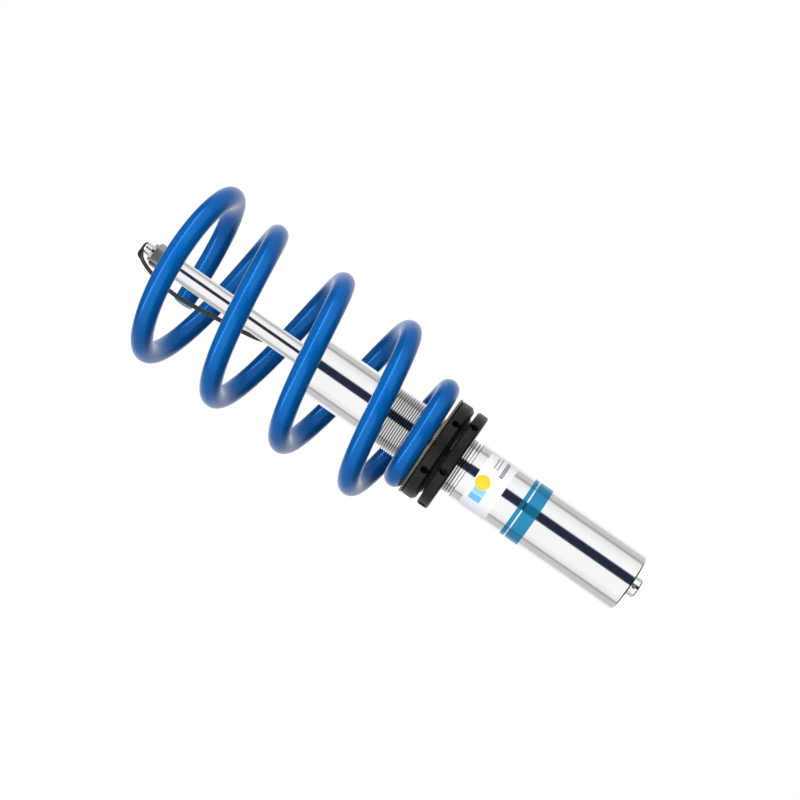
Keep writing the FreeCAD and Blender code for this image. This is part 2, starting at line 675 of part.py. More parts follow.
def coil_points():
    """The wire's centre line, upwards from its lower end, wound right-handed."""
    turns = dim("coil_turns")
    steps = int(dim("coil_points_per_turn") * turns)
    slices = 8
    turn_slice = turns / (steps * slices)
    level = dim("perch_top") + dim("slip_ring_height") + dim("wire_radius")
    points = []
    for step in range(steps + 1):
        turn = turns * step / steps
        angle = math.radians(dim("upper_tip_angle")) + 2 * math.pi * (turn - turns)
        radius = coil_centre_radius(turn)
        tilt = dim("coil_tilt_rise") * math.sin(angle) * smooth(turn - dim("tilt_start"))
        points.append(Vector(radius * math.cos(angle), radius * math.sin(angle), level + tilt))
        for number in range(slices):
            level += dim("coil_pitch") * coil_slope(turn + (number + 0.5) * turn_slice) * turn_slice
    return points


def swept_round(path_wire, start, along, radius):
    """A round bar swept along a wire, with its volume checked against section times length."""
    section = Part.Wire(Part.makeCircle(radius, start, along))
    bar = path_wire.makePipeShell([section], True, True)
    expected = math.pi * radius ** 2 * path_wire.Length
    if abs(bar.Volume / expected - 1) > 0.02:
        raise RuntimeError("a swept volume is %.0f instead of %.0f" % (bar.Volume, expected))
    return bar


def make_coil_spring():
    points = coil_points()
    curve = Part.BSplineCurve()
    curve.interpolate(points)
    wire = Part.Wire(curve.toShape())
    along = curve.tangent(curve.FirstParameter)[0]
    spring = doc.addObject("Part::Feature", "CoilSpring")
    spring.Shape = swept_round(wire, points[0], along, dim("wire_radius"))
    keep(spring, "coil_spring", FreeCAD.Placement())


# ---------------------------------------------------------------- stud nut, washer and strap
def make_stud_hardware():
    washer_top = "rod_top + stud_washer_height"
    keep(ring_body("TopWasher", "top_stud_radius + washer_play", "stud_washer_radius",
                   "rod_top", washer_top), "top_washer")
    hex_top = washer_top + " + nut_hex_height"
    blank = hexagon("TopNutBlank", "nut_flats", washer_top, "nut_hex_height")
    # A lathe cut bevels both ends of the hexagon.
    bevel = turned_body("TopNutBevel", [
        ("0", washer_top),
        ("nut_flats / 2", washer_top),
        ("nut_flats / 2 + nut_bevel", washer_top + " + nut_bevel_rise"),
        ("nut_flats / 2 + nut_bevel", hex_top + " - nut_bevel_rise"),
        ("nut_flats / 2", hex_top),
        ("0", hex_top),
    ])
    shaped = joined("Part::MultiCommon", "TopNutHexagon", blank, bevel)
    collar = cylinder("TopNutCollar", "nut_collar_radius", hex_top + " - tool_overrun",
                      hex_top + " + nut_collar_height")
    solid = joined("Part::MultiFuse", "TopNutSolid", shaped, collar)
    hole = cylinder("TopNutBore", "top_stud_radius + stud_fit", washer_top + " - tool_overrun",
                    hex_top + " + nut_collar_height + tool_overrun")
    keep(joined("Part::Cut", "TopNut", solid, hole), "top_nut")


def strap_route():
    """Corners of the strap's loop: from behind the rod up over the stud's tip, down one side,
    round behind the rod and back up to where its two ends are welded together."""
    tip = dim("rod_top") + dim("top_stud_length")
    return [Vector(*corner) for corner in (
        (2.4, 13.2, tip - 40.0),
        (2.0, 13.5, tip - 22.0),
        (2.5, 12.8, tip - 6.0),
        (0.0, 5.0, tip + 2.2),
        (-8.0, 2.0, tip + 1.4),
        (-15.5, 3.0, tip - 14.0),
        (-18.5, 5.0, tip - 38.0),
        (-15.5, 7.0, tip - 66.0),
        (-11.5, 9.5, tip - 96.0),
        (-8.0, 12.5, tip - 118.0),
        (1.0, 14.5, tip - 126.0),
        (5.5, 14.5, tip - 112.0),
        (5.0, 13.5, tip - 84.0),
        (3.0, 13.0, tip - 60.0),
        (2.4, 13.2, tip - 40.6),
    )]


def rounded_path(corners):
    """A wire from the first corner to the last, of straight runs joined by tangent arcs."""
    edges = []
    here = corners[0]
    for before, corner, after in zip(corners, corners[1:], corners[2:]):
        back = before - corner
        ahead = after - corner
        reach = 0.45 * min(back.Length, ahead.Length)
        back.normalize()
        ahead.normalize()
        half = math.acos(max(-1.0, min(1.0, back.dot(ahead)))) / 2
        inward = back + ahead
        inward.normalize()
        radius = reach * math.tan(half)
        entry = corner + back * reach
        leave = corner + ahead * reach
        middle = corner + inward * (radius / math.sin(half) - radius)
        edges.append(Part.LineSegment(here, entry).toShape())
        edges.append(Part.Arc(entry, middle, leave).toShape())
        here = leave
    edges.append(Part.LineSegment(here, corners[-1]).toShape())
    return Part.Wire(edges)


def make_retaining_strap():
    corners = strap_route()
    wire = rounded_path(corners)
    strap = doc.addObject("Part::Feature", "RetainingStrap")
    strap.Shape = swept_round(wire, corners[0], corners[1] - corners[0], dim("strap_radius"))
    keep(strap, "retaining_strap", FreeCAD.Placement())


# ---------------------------------------------------------------- printed films
def film(name, low, high, angle):
    """A thin film wrapped on the sleeve, centred on the side that faces -Y."""
    body = doc.addObject("PartDesign::Body", name)
    sketch = new_sketch(body, name + "Outline")
    outline(sketch, [
        ("sleeve_radius", low),
        ("sleeve_radius + film_thickness", low),
        ("sleeve_radius + film_thickness", high),
        ("sleeve_radius", high),
    ])
    turned = body.newObject("PartDesign::Revolution", name + "Turned")
    turned.Profile = sketch
    turned.ReferenceAxis = (sketch, ["V_Axis"])
    turned.setExpression("Angle", bound(angle))
    turned.Midplane = True
    body.Placement = FreeCAD.Placement(Vector(), Rotation(Vector(0, 0, 1), -90))
    return body


def make_films():
    keep(film("RatingLabel", "label_bottom", "label_top", "label_angle"), "rating_label")
    keep(film("WideStripe", "stripe_bottom", "stripe_line_bottom", "stripe_angle"), "wide_stripe")
    keep(film("NarrowStripe", "stripe_line_top", "stripe_top", "stripe_angle"), "narrow_stripe")


make_end_plug()
make_gas_fill_plug()
make_body_sleeve()
make_damper_tube()
make_circlip("lower")
make_circlip("upper")
make_rod_guide()
make_rod_seals()
make_piston_rod()
make_piston()
make_piston_hardware()
make_floating_piston()
make_lock_ring()
make_spring_perch()
make_slip_ring()
make_coil_spring()
make_stud_hardware()
make_retaining_strap()
make_films()
doc.recompute()

for item in doc.Objects:
    if "Invalid" in item.State or "Error" in item.State:
        raise RuntimeError("%s failed: %s" % (item.Name, item.State))
for piece in sub_parts:
    if piece.Shape.isNull() or not piece.Shape.isValid():
        raise RuntimeError("%s has no valid shape" % piece.Label)

os.makedirs("parts", exist_ok=True)
for piece in sub_parts:
    piece.Shape.exportStep(os.path.join("parts", piece.Label + ".step"))
    print("%-24s %10.1f mm3  %d solid(s)" % (piece.Label, piece.Shape.Volume, len(piece.Shape.Solids)))
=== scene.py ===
import bpy
import json
import math
from mathutils import Matrix, Vector


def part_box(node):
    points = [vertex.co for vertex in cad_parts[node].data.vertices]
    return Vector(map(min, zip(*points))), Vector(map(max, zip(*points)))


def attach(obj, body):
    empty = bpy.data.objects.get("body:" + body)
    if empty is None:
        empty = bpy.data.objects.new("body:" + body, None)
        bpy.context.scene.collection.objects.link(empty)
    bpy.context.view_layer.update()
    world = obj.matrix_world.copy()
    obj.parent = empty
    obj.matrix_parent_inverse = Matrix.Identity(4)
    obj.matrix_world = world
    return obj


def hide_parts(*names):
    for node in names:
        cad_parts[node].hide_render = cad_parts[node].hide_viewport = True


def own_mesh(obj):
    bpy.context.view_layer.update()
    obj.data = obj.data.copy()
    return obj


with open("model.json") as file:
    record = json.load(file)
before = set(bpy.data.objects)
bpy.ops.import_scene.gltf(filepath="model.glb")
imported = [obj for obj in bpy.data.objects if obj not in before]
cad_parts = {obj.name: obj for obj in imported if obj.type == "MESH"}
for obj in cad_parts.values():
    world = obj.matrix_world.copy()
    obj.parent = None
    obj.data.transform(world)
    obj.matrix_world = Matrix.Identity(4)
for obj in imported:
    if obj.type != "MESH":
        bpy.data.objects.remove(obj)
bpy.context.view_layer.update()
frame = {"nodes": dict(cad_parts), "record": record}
nodes = frame["nodes"]

# ---------------------------------------------------------------- sizes, in metres
MM = 0.001
SLIP_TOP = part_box("spring_slip_ring")[1].z
SLEEVE_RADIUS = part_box("body_sleeve")[1].x
STUD_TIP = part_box("piston_rod")[1].z
LABEL_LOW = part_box("rating_label")[0].z

# The tube's outside thread. Painted shade darkens its roots: it begins at the first of these
# depths below the crest and is full at the second.
THREAD_CREST = 24.0 * MM
THREAD_LOW, THREAD_HIGH = 161.0 * MM, 242.0 * MM
ROOT_SHADE_START, ROOT_SHADE_FULL = 0.1 * MM, 0.6 * MM

# The coil's own shape, in turns counted from its lower cut end.
WIRE_RADIUS = 8.5 * MM
COIL_TURNS = 5.0
COIL_PITCH = 63.3 * MM
COIL_RADIUS = 63.2 * MM
COIL_TAPER = 1.15 * MM
TAPER_START = 1.6
LOWER_END_RADIUS = 35.0 * MM
FLARE_RISE = 3.9 * MM
FLARE_START, FLARE_TURNS = 4.2, 0.7
PIGTAIL_START, PIGTAIL_TURNS = 0.33, 1.1
LOWER_DEAD_TURNS, LOWER_RAMP_TURNS = 0.2, 1.28
UPPER_RAMP_START, UPPER_RAMP_TURNS = 4.33, 0.3
UPPER_TUCK = 0.3
TILT_RISE = 2.2 * MM
TILT_START = 0.6
UPPER_TIP_ANGLE = math.radians(106.7)

# The coil's mesh. NECK_DEPTH is both how far in from a cut end its neck lies and how deep it is,
# and NECK_CLEAR is how many of those lengths the full-size rings keep from the end.
COIL_STEPS_PER_TURN, COIL_SIDES = 90, 48
NECK_DEPTH, NECK_STEPS, NECK_CLEAR = 1.0 * MM, 3, 1.2

# Pieces' edges sharper than this are not smoothed.
NEW_PIECE_CREASE, CAD_PIECE_CREASE = math.radians(40), math.radians(32)

# Most of a noise texture's values lie between these two.
NOISE_LOW, NOISE_HIGH = 0.3, 0.7


# ---------------------------------------------------------------- camera
def add_camera():
    """The strut runs from upper left to lower right, its label towards the camera."""
    aim = Vector((0.0152, -0.0020, 0.2321))
    distance = 1.6247
    elevation = math.radians(-2.9)
    roll = math.radians(55.2)
    back = Vector((0, -math.cos(elevation), math.sin(elevation)))
    right = Vector((1, 0, 0))
    up = back.cross(right)
    turned_up = up * math.cos(roll) + right * math.sin(roll)
    turned_right = turned_up.cross(back)
    data = bpy.data.cameras.new("camera")
    data.sensor_width = 36
    data.lens = 94.95
    camera = bpy.data.objects.new("camera", data)
    rotation = Matrix((turned_right, turned_up, back)).transposed()
    camera.matrix_world = Matrix.Translation(aim + back * distance) @ rotation.to_4x4()
    bpy.context.scene.collection.objects.link(camera)
    bpy.context.scene.camera = camera


# ---------------------------------------------------------------- node helpers
def rgba(red, green, blue):
    return (red, green, blue, 1.0)


def grey(tone):
    return rgba(tone, tone, tone)


class NodeTree:
    """Short names for building a tree of shader nodes."""

    def __init__(self, tree):
        self.tree = tree

    def node(self, kind, **settings):
        made = self.tree.nodes.new(kind)
        for key, value in settings.items():
            setattr(made, key, value)
        return made

    def link(self, source, target):
        self.tree.links.new(source, target)

    def feed(self, socket, value):
        """Sets a socket to a number or colour, or links it to another node's output."""
        if isinstance(value, (int, float, tuple)):
            socket.default_value = value
        else:
            self.link(value, socket)

    def axes(self, vector):
        """The X, Y and Z of a vector."""
        made = self.node("ShaderNodeSeparateXYZ")
        self.link(vector, made.inputs["Vector"])
        return made.outputs["X"], made.outputs["Y"], made.outputs["Z"]

    def calculate(self, operation, *values):
        made = self.node("ShaderNodeMath", operation=operation)
        for socket, value in zip(made.inputs, values):
            self.feed(socket, value)
        return made.outputs["Value"]

    def inside(self, value, low, high):
        """1 where low < value < high."""
        above = self.calculate("GREATER_THAN", value, low)
        below = self.calculate("LESS_THAN", value, high)
        return self.calculate("MULTIPLY", above, below)

    def spread(self, factor, low, high, start=NOISE_LOW, end=NOISE_HIGH, kind="LINEAR"):
        """Low where the factor is at start or below, high where it is at end or above."""
        made = self.node("ShaderNodeMapRange", interpolation_type=kind)
        for key, value in (("From Min", start), ("From Max", end),
                           ("To Min", low), ("To Max", high)):
            made.inputs[key].default_value = value
        self.link(factor, made.inputs["Value"])
        return made.outputs["Result"]


class Graph(NodeTree):
    """One material's nodes round its Principled shader."""

    SOCKETS = {"metallic": "Metallic", "specular": "Specular IOR Level",
               "coat": "Coat Weight", "coat_roughness": "Coat Roughness",
               "emission": "Emission Color", "emission_strength": "Emission Strength"}

    def __init__(self, name, **values):
        self.material = bpy.data.materials.new(name)
        self.material.use_nodes = True
        super().__init__(self.material.node_tree)
        self.shader = self.tree.nodes["Principled BSDF"]
        for key, value in values.items():
            self.shader.inputs[self.SOCKETS[key]].default_value = value

    def place(self):
        return self.node("ShaderNodeTexCoord").outputs["Object"]

    def noise(self, scale, detail, stretch=(1, 1, 1)):
        mapping = self.node("ShaderNodeMapping")
        mapping.inputs["Scale"].default_value = stretch
        self.link(self.place(), mapping.inputs["Vector"])
        made = self.node("ShaderNodeTexNoise")
        made.inputs["Scale"].default_value = scale
        made.inputs["Detail"].default_value = detail
        self.link(mapping.outputs["Vector"], made.inputs["Vector"])
        return made.outputs["Fac"]

    def turning_lines(self, across, along):
        """Noise drawn out round the axis. Both are in features for each metre."""
        return self.noise(1.0, 2, (across, across, along))

    def ramp(self, factor, low, high, low_at=NOISE_LOW, high_at=NOISE_HIGH):
        made = self.node("ShaderNodeValToRGB")
        for element, place, tone in zip(made.color_ramp.elements, (low_at, high_at), (low, high)):
            element.position = place
            element.color = tone
        self.link(factor, made.inputs["Fac"])
        return made.outputs["Color"]

    def mix(self, factor, first, second):
        made = self.node("ShaderNodeMix", data_type="RGBA")
        self.link(factor, made.inputs["Factor"])
        self.feed(made.inputs["A"], first)
        self.feed(made.inputs["B"], second)
        return made.outputs["Result"]

    def color(self, source):
        self.link(source, self.shader.inputs["Base Color"])

    def roughness(self, source):
        self.link(source, self.shader.inputs["Roughness"])

    def bump(self, height, strength, distance):
        made = self.node("ShaderNodeBump")
        made.inputs["Strength"].default_value = strength
        made.inputs["Distance"].default_value = distance
        self.link(height, made.inputs["Height"])
        self.link(made.outputs["Normal"], self.shader.inputs["Normal"])


# ---------------------------------------------------------------- materials
def blue_powder_coat():
    g = Graph("blue_powder_coat", metallic=0.35, coat=0.05, coat_roughness=0.12, specular=0.16)
    g.color(g.ramp(g.noise(18, 3), rgba(0.0008, 0.09, 0.32), rgba(0.001, 0.104, 0.37)))
    g.roughness(g.spread(g.noise(90, 3), 0.2, 0.28))
    g.bump(g.noise(700, 3), 0.06, 0.3 * MM)
    return g.material


def polished_metal(name, tint, low_rough, high_rough, line_scale=1500.0, depth=0.05):
    """Bright metal with very fine turning lines round the axis and faint cloudy haze."""
    g = Graph(name, metallic=1.0)
    haze_shade = 0.96
    deeper = tuple(part * haze_shade for part in tint)
    haze = g.ramp(g.noise(30, 3), rgba(*deeper), rgba(*tint), 0.35, 0.65)
    g.color(haze)
    lines = g.turning_lines(40, line_scale)
    g.roughness(g.spread(lines, low_rough, high_rough))
    g.bump(lines, depth, 0.05 * MM)
    return g, haze


def polished_tube(name):
    return polished_metal(name, (0.9, 0.91, 0.92), 0.07, 0.12)


def threaded_tube():
    """The polished tube, with painted shade in the roots of its thread."""
    g, haze = polished_tube("threaded_tube")
    x, y, z = g.axes(g.place())
    squares = [g.calculate("POWER", part, 2.0) for part in (x, y)]
    radius = g.calculate("SQRT", g.calculate("ADD", *squares))
    # Painted shade: the thread's roots are drawn in a darker metal colour, fullest at their deepest
    # part.
    film = g.spread(radius, 1.0, 0.0, THREAD_CREST - ROOT_SHADE_FULL, THREAD_CREST - ROOT_SHADE_START)
    root_shade = g.calculate("MULTIPLY", film, g.inside(z, THREAD_LOW, THREAD_HIGH))
    g.color(g.mix(root_shade, haze, rgba(0.42, 0.42, 0.43)))
    return g.material


def black_anodised():
    g = Graph("black_anodised", metallic=0.0, specular=0.26, coat=0.05, coat_roughness=0.3)
    dark, light = rgba(0.003, 0.0026, 0.0026), rgba(0.007, 0.006, 0.006)
    g.color(g.ramp(g.noise(260, 4), dark, light, NOISE_LOW, 0.75))
    lines = g.turning_lines(60, 2200)
    g.roughness(g.spread(lines, 0.36, 0.5))
    g.bump(lines, 0.15, 0.08 * MM)
    return g.material


def zinc_hardware():
    g = Graph("zinc_hardware", metallic=1.0)
    crystal = g.noise(220, 4)
    g.color(g.ramp(crystal, rgba(0.36, 0.38, 0.37), rgba(0.6, 0.62, 0.6)))
    g.roughness(g.spread(g.noise(90, 3), 0.14, 0.26))
    g.bump(crystal, 0.1, 0.1 * MM)
    return g.material


def plain_steel():
    g = Graph("plain_steel", metallic=1.0)
    g.color(g.ramp(g.noise(160, 4), rgba(0.34, 0.35, 0.37), rgba(0.5, 0.51, 0.53)))
    g.roughness(g.spread(g.noise(300, 3), 0.25, 0.42))
    return g.material


def sintered_iron():
    g = Graph("sintered_iron", metallic=0.8)
    pores = g.noise(900, 5)
    g.color(g.ramp(pores, rgba(0.06, 0.06, 0.065), rgba(0.16, 0.16, 0.17), 0.35, 0.6))
    g.roughness(g.spread(pores, 0.45, 0.7))
    g.bump(pores, 0.3, 0.1 * MM)
    return g.material


def turned_aluminium():
    g = Graph("turned_aluminium", metallic=1.0)
    lines = g.turning_lines(50, 3000)
    g.color(g.ramp(lines, rgba(0.62, 0.63, 0.65), rgba(0.78, 0.79, 0.8)))
    g.roughness(g.spread(lines, 0.22, 0.38))
    g.bump(lines, 0.2, 0.05 * MM)
    return g.material


def lined_bronze():
    g = Graph("lined_bronze", metallic=1.0)
    cloud = g.noise(260, 4)
    g.color(g.ramp(cloud, rgba(0.36, 0.2, 0.08), rgba(0.5, 0.3, 0.13)))
    g.roughness(g.spread(cloud, 0.3, 0.45))
    return g.material


def rubber(name, dark, light):
    g = Graph(name, metallic=0.0, specular=0.4)
    cloud = g.noise(350, 4)
    g.color(g.ramp(cloud, grey(dark), grey(light)))
    g.roughness(g.spread(cloud, 0.5, 0.68))
    g.bump(g.noise(1200, 3), 0.15, 0.1 * MM)
    return g.material


def matt_plastic(name, dark, light):
    g = Graph(name, metallic=0.0, specular=0.45)
    g.color(g.ramp(g.noise(420, 4), dark, light))
    g.roughness(g.spread(g.noise(200, 3), 0.38, 0.52))
    g.bump(g.noise(900, 3), 0.1, 0.1 * MM)
    return g.material


def strap_nylon():
    g = Graph("strap_nylon", metallic=0.0, specular=0.45, coat=0.1, coat_roughness=0.35)
    fibre = g.noise(1.0, 3, (2500, 2500, 60))
    g.color(g.ramp(fibre, rgba(0.004, 0.004, 0.004), rgba(0.012, 0.012, 0.013)))
    g.roughness(g.spread(fibre, 0.35, 0.5))
    g.bump(fibre, 0.2, 0.1 * MM)
    return g.material


# The label's print, in millimetres. Heights count from the label's lower edge. Arc lengths count
# along the sleeve from the side that faces -Y, towards +X. Rows are low, high, left, right.
BLOCKS = [((10.5, 20.5, -16.5, -10.6), rgba(0.1, 0.36, 0.66)),
          ((10.5, 20.5, -10.1, -4.5), rgba(0.16, 0.44, 0.72))]
DISC_HEIGHT, DISC_ARC, DISC_RADIUS = 16.9, -0.5, 6.0
DISC_YELLOW = rgba(0.56, 0.45, 0.01)
BAR_ROWS = [(6.2, 9.4, 9.5, 27.5), (12.6, 13.7, 13.5, 28.0), (15.4, 16.5, 13.5, 26.0)]
BAR_PITCH, BAR_GAP = 1.9, 0.35
BAR_INK = rgba(0.05, 0.05, 0.06)


def label_film():
    """White film with a plain disc, two tint blocks and rows of short bars in place of print."""
    g = Graph("label_film", metallic=0.0, specular=0.5, coat=0.25, coat_roughness=0.15)
    x, y, height = g.axes(g.place())
    angle = g.calculate("ARCTAN2", x, g.calculate("MULTIPLY", y, -1.0))
    arc = g.calculate("MULTIPLY", angle, SLEEVE_RADIUS)

    def patch(low, high, left, right):
        rows = g.inside(height, LABEL_LOW + low * MM, LABEL_LOW + high * MM)
        return g.calculate("MULTIPLY", rows, g.inside(arc, left * MM, right * MM))

    film = g.ramp(g.noise(60, 3), rgba(0.6, 0.6, 0.65), rgba(0.66, 0.66, 0.71))
    for extent, tint in BLOCKS:
        film = g.mix(patch(*extent), film, tint)
    offsets = [g.calculate("SUBTRACT", arc, DISC_ARC * MM),
               g.calculate("SUBTRACT", height, LABEL_LOW + DISC_HEIGHT * MM)]
    squares = [g.calculate("POWER", offset, 2.0) for offset in offsets]
    disc = g.calculate("LESS_THAN", g.calculate("ADD", *squares), (DISC_RADIUS * MM) ** 2)
    film = g.mix(disc, film, DISC_YELLOW)
    along_row = g.calculate("FRACT", g.calculate("MULTIPLY", arc, 1 / (BAR_PITCH * MM)))
    bars = g.calculate("GREATER_THAN", along_row, BAR_GAP)
    first, second, third = [patch(*extent) for extent in BAR_ROWS]
    rows = g.calculate("MAXIMUM", g.calculate("MAXIMUM", first, second), third)
    g.color(g.mix(g.calculate("MULTIPLY", rows, bars), film, BAR_INK))
    g.roughness(g.spread(g.noise(150, 3), 0.25, 0.36))
    return g.material


def stripe_film():
    g = Graph("stripe_film", metallic=0.6, specular=0.4, coat=0.1, coat_roughness=0.1)
    g.color(g.ramp(g.noise(25, 3), rgba(0.011, 0.2, 0.39), rgba(0.016, 0.235, 0.44)))
    g.roughness(g.spread(g.noise(150, 3), 0.1, 0.16))
    return g.material


# ---------------------------------------------------------------- mesh helpers
def smooth_faces(mesh, crease):
    mesh.polygons.foreach_set("use_smooth", [True] * len(mesh.polygons))
    mesh.set_sharp_from_angle(angle=crease)


def new_piece(name, vertices, faces, material, body):
    mesh = bpy.data.meshes.new(name)
    mesh.from_pydata([tuple(v) for v in vertices], [], faces)
    mesh.validate()
    smooth_faces(mesh, NEW_PIECE_CREASE)
    mesh.materials.append(material)
    piece = bpy.data.objects.new(name, mesh)
    bpy.context.scene.collection.objects.link(piece)
    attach(piece, body)
    return piece


def smooth_step(fraction):
    """0 below 0, 1 above 1, and an even S between them."""
    fraction = min(max(fraction, 0.0), 1.0)
    return fraction * fraction * (3 - 2 * fraction)


def around(sides):
    """The angles of a ring's vertices."""
    return [2 * math.pi * side / sides for side in range(sides)]


def wall_faces(rings, sides, closed=False):
    """Four-sided faces between each ring of vertices and the next."""
    faces = []
    for ring in range(rings if closed else rings - 1):
        here, following = ring * sides, (ring + 1) % rings * sides
        for side in range(sides):
            beside = (side + 1) % sides
            faces.append((here + side, here + beside, following + beside, following + side))
    return faces


# ---------------------------------------------------------------- coil spring
def coil_slope(turn):
    """Rise per turn of the wire's centre, relative to the full pitch."""
    opening = smooth_step((turn - LOWER_DEAD_TURNS) / LOWER_RAMP_TURNS)
    closing = smooth_step((turn - UPPER_RAMP_START) / UPPER_RAMP_TURNS)
    return opening - closing * (1 + UPPER_TUCK)


def coil_radius(turn):
    """A narrow pigtail at the seat, a slight widening upwards, and a flared top coil."""
    wide = COIL_RADIUS + COIL_TAPER * max(turn - TAPER_START, 0.0)
    pigtail = 1 - smooth_step((turn - PIGTAIL_START) / PIGTAIL_TURNS)
    flare = smooth_step((turn - FLARE_START) / FLARE_TURNS)
    return wide + pigtail * (LOWER_END_RADIUS - wide) + flare * FLARE_RISE


def coil_centre_line():
    steps = int(COIL_TURNS * COIL_STEPS_PER_TURN)
    turn_step = COIL_TURNS / steps
    level = SLIP_TOP + WIRE_RADIUS
    points = []
    for step in range(steps + 1):
        turn = step * turn_step
        angle = UPPER_TIP_ANGLE + 2 * math.pi * (turn - COIL_TURNS)
        tilt = TILT_RISE * math.sin(angle) * smooth_step(turn - TILT_START)
        radius = coil_radius(turn)
        points.append(Vector((radius * math.cos(angle), radius * math.sin(angle), level + tilt)))
        level += COIL_PITCH * coil_slope(turn + 0.5 * turn_step) * turn_step
    return points


def tube_along(points, radius, sides):
    """Rings of vertices round a line, closed by a flat face at each end. The rings narrow
    evenly from each end face inwards over NECK_DEPTH, and are full size beyond it."""
    first_way = (points[1] - points[0]).normalized()
    last_way = (points[-1] - points[-2]).normalized()
    setbacks = [NECK_DEPTH * (1 - math.cos(0.5 * math.pi * step / NECK_STEPS))
                for step in range(NECK_STEPS + 1)]
    stations = [(points[0] + first_way * setback, first_way, radius - setback)
                for setback in setbacks]
    for before, here, after in zip(points, points[1:], points[2:]):
        from_end = min((here - points[0]).length, (here - points[-1]).length)
        if from_end > NECK_DEPTH * NECK_CLEAR:
            stations.append((here, (after - before).normalized(), radius))
    stations += [(points[-1] - last_way * setback, last_way, radius - setback)
                 for setback in reversed(setbacks)]
    vertices = []
    for centre, way, ring in stations:
        side = way.cross(Vector((0, 0, 1))).normalized()
        over = side.cross(way).normalized()
        vertices += [centre + ring * (side * math.cos(turn) + over * math.sin(turn))
                     for turn in around(sides)]
    faces = wall_faces(len(stations), sides)
    faces.append(tuple(reversed(range(sides))))
    faces.append(tuple(range(len(vertices) - sides, len(vertices))))
    return vertices, faces


def add_coil_spring(material):
    """The wire is kept out of mirror reflections, where it showed far more than it does in the
    photograph."""
    vertices, faces = tube_along(coil_centre_line(), WIRE_RADIUS, COIL_SIDES)
    piece = new_piece("spring_wire", vertices, faces, material, "spring_carrier")
    piece.visible_glossy = False
    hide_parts("coil_spring")
    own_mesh(piece)


# ---------------------------------------------------------------- retaining strap
# Each row is a point that pulls the strap's loop, in millimetres from the stud's tip, and the
# way the strap's flat side faces there.
STRAP_ROUTE = [
    ((2.4, 13.2, -40.0), (0, 1, 0)), ((2.0, 13.5, -22.0), (0, 1, 0)),
    ((2.5, 12.8, -6.0), (0, 1, 0.4)), ((1.0, 2.5, 2.3), (0, 0, 1)),
    ((-7.0, -3.5, 0.8), (-0.5, -0.8, 0.4)), ((-14.0, -0.5, -13.0), (-0.7, -0.7, 0.1)),
    ((-18.5, 5.0, -38.0), (-0.4, -0.9, 0)), ((-15.5, 7.0, -66.0), (-0.3, -0.95, 0)),
    ((-11.5, 9.5, -96.0), (-0.3, -0.95, 0)), ((-8.0, 12.5, -118.0), (-0.7, -0.5, -0.5)),
    ((1.0, 14.5, -126.0), (0, 0.3, -1)), ((5.5, 14.5, -112.0), (0.8, 0.6, 0)),
    ((5.0, 13.5, -84.0), (0.2, 1, 0)), ((3.0, 13.0, -60.0), (0, 1, 0)),
]
STRAP_RESOLUTION, STRAP_SIDES = 14, 16
STRAP_HALF_WIDTH, STRAP_HALF_THICKNESS = 1.75 * MM, 0.85 * MM
# Powers of the section's cosine and sine. Below 1 they square its round corners.
WIDTH_POWER, THICKNESS_POWER = 0.45, 0.6
# The band is wider by TAB on each side over the tip. It starts to widen at TAB_START, measured
# from the tip, and is fully widened TAB_RISE above that.
TAB, TAB_START, TAB_RISE = 2.0 * MM, -4.0 * MM, 5.0 * MM


def spline_through(name, points):
    """Points along a closed smooth spline that the given points pull."""
    curve = bpy.data.curves.new(name, "CURVE")
    curve.dimensions = "3D"
    curve.resolution_u = STRAP_RESOLUTION
    spline = curve.splines.new("NURBS")
    spline.points.add(len(points) - 1)
    for place, point in zip(spline.points, points):
        place.co = (*point, 1.0)
    spline.order_u = 3
    spline.use_cyclic_u = True
    holder = bpy.data.objects.new(name, curve)
    mesh = bpy.data.meshes.new_from_object(holder)
    found = [vertex.co.copy() for vertex in mesh.vertices]
    bpy.data.objects.remove(holder)
    bpy.data.curves.remove(curve)
    bpy.data.meshes.remove(mesh)
    return found


def squared(part, power):
    """A cosine or sine pushed out towards 1 or -1."""
    return math.copysign(abs(part) ** power, part)


def add_strap(material):
    """A flat band looped over the stud's tip and down behind the rod."""
    centres = [Vector((x, y, z)) * MM + Vector((0, 0, STUD_TIP)) for (x, y, z), _ in STRAP_ROUTE]
    lifted = [centre + Vector(facing).normalized() * MM
              for centre, (_, facing) in zip(centres, STRAP_ROUTE)]
    line = spline_through("strap_line", centres)
    cover = spline_through("strap_cover", lifted)
    vertices = []
    count = len(line)
    for i in range(count):
        way = (line[(i + 1) % count] - line[i - 1]).normalized()
        facing = cover[i] - line[i]
        facing = (facing - facing.dot(way) * way).normalized()
        across = way.cross(facing)
        widened = smooth_step((line[i].z - STUD_TIP - TAB_START) / TAB_RISE)
        width = STRAP_HALF_WIDTH + TAB * widened
        for turn in around(STRAP_SIDES):
            flat = squared(math.cos(turn), WIDTH_POWER)
            thick = squared(math.sin(turn), THICKNESS_POWER)
            vertices.append(line[i] + across * (width * flat)
                            + facing * (STRAP_HALF_THICKNESS * thick))
    faces = wall_faces(count, STRAP_SIDES, closed=True)
    piece = new_piece("strap_band", vertices, faces, material, "rod")
    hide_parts("retaining_strap")
    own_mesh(piece)


# ---------------------------------------------------------------- studio
STUDIO_STRENGTH = 1.05
STRIP_STRENGTH, OVERHEAD_STRENGTH = 6.0, 0.3
SOFTBOX, PANEL_RIM, BACK_BOX, EDGE, GREY = [grey(tone) for tone in (1.0, 0.84, 0.95, 0.6, 0.4)]
NAVY = rgba(0.018, 0.025, 0.048)
